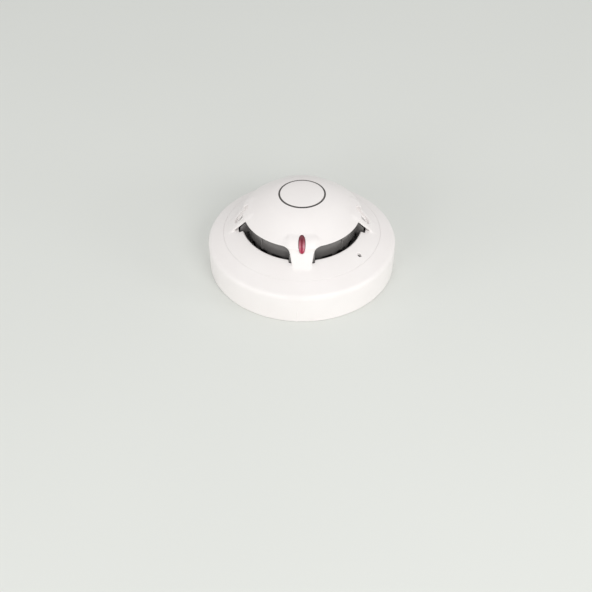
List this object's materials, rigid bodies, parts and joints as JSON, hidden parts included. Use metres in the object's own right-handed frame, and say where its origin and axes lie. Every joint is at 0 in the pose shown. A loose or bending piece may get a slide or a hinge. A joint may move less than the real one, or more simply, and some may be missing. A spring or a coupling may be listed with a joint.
{
  "type": "heat detector",
  "caption": "Ceiling-mounted point fire detector: domed white sensing head with four air windows and a red indicator, twisted into a deep round base.",
  "frame": {"origin": "centre of the base's mounting plane, on the axis of the drum", "axes": "+Z out of the mounting surface through the crown of the dome, -Y towards the red indicator window, +X to the right of it"},
  "size_m": [0.12, 0.1201, 0.0548],
  "materials": {
    "white_shell": "fine satin moulded white plastic",
    "dark_ring": "matt dark grey-brown inlay",
    "red_lens": "glossy translucent red",
    "black_moulding": "polished black",
    "black_optics": "matt black",
    "screen_steel": "fine dark woven mesh",
    "contact_bronze": "rolled sheet",
    "plated_steel": "zinc plated",
    "white_inner": "matt off-white",
    "red_brown_plastic": "satin",
    "board_green": "solder mask",
    "chip_black": "matt moulded",
    "can_aluminium": "printed sleeve",
    "emitter_blue": "tinted clear",
    "led_clear": "milky clear",
    "bead_glass": "glass bead"
  },
  "bodies": {
    "root": {"base_shell": "white_shell", "contact_spring_right": "contact_bronze", "contact_spring_back": "contact_bronze", "contact_spring_left": "contact_bronze", "contact_spring_front": "contact_bronze", "terminal_clamps": "plated_steel", "terminal_screws": "plated_steel", "earth_strip": "contact_bronze", "earth_screws": "plated_steel", "lock_plug": "white_inner", "lock_spring": "plated_steel"},
    "lock_plunger": {"lock_plunger": "red_brown_plastic"},
    "head": {"head_cover": "white_shell", "ring_inlay": "dark_ring", "indicator_lens": "red_lens", "chamber_shroud": "black_moulding", "insect_screen": "screen_steel", "labyrinth": "black_optics", "optics_holder": "black_optics", "ir_emitter": "emitter_blue", "photodiode": "chip_black", "thermistor_left": "bead_glass", "thermistor_right": "bead_glass", "main_pcb": "board_green", "pcb_chips": "chip_black", "pcb_capacitors": "can_aluminium", "pcb_resistors": "chip_black", "indicator_led": "led_clear", "shield_can": "plated_steel", "back_plate": "white_inner", "contact_blades": "contact_bronze", "head_screws": "plated_steel"}
  },
  "joints": [
    {"name": "head_twist", "type": "hinge", "parent": "root", "child": "head", "pos_m": [0, 0, 0.011], "axis": [0, 0, 1], "range_deg": [0, 20]},
    {"name": "lock_press", "type": "slide", "parent": "root", "child": "lock_plunger", "axis": [0, 0, -1], "range_m": [0, 0.0022], "stiffness_N_per_m": 250, "springref_m": -0.002, "deforming": ["lock_spring"]}
  ]
}
